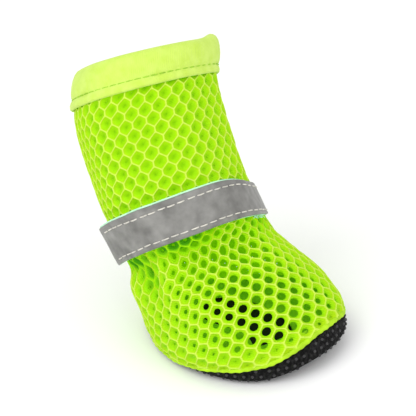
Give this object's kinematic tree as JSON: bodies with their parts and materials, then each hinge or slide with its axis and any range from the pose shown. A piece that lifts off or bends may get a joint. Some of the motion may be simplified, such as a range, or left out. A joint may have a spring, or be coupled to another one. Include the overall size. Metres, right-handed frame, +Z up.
{
  "type": "dog boot",
  "caption": "Slack honeycomb-mesh dog boot with a padded collar binding, a wrapped ankle strap and a broad grip-fabric sole that curls up at the toe.",
  "frame": {"origin": "on the floor under the middle of the foot, on the sole's flat underside", "axes": "+X points to the toe, +Y to the boot's left, +Z up the shaft; the boot stands empty on its sole"},
  "size_m": [0.0959, 0.0673, 0.1013],
  "materials": {
    "mesh": "neon lime knitted honeycomb mesh",
    "grip_sole": "black coarse woven fabric with small rubber grip dots",
    "inner_sole": "matt black woven lining",
    "binding_tape": "soft pale lime stretch knit, folded and padded",
    "reflective_tape": "grey reflective tape with a satin face, stitched along both edges"
  },
  "bodies": {
    "root": {"upper": "mesh", "sole": "grip_sole", "insole": "inner_sole", "collar_binding": "binding_tape", "strap": "reflective_tape"}
  },
  "joints": []
}
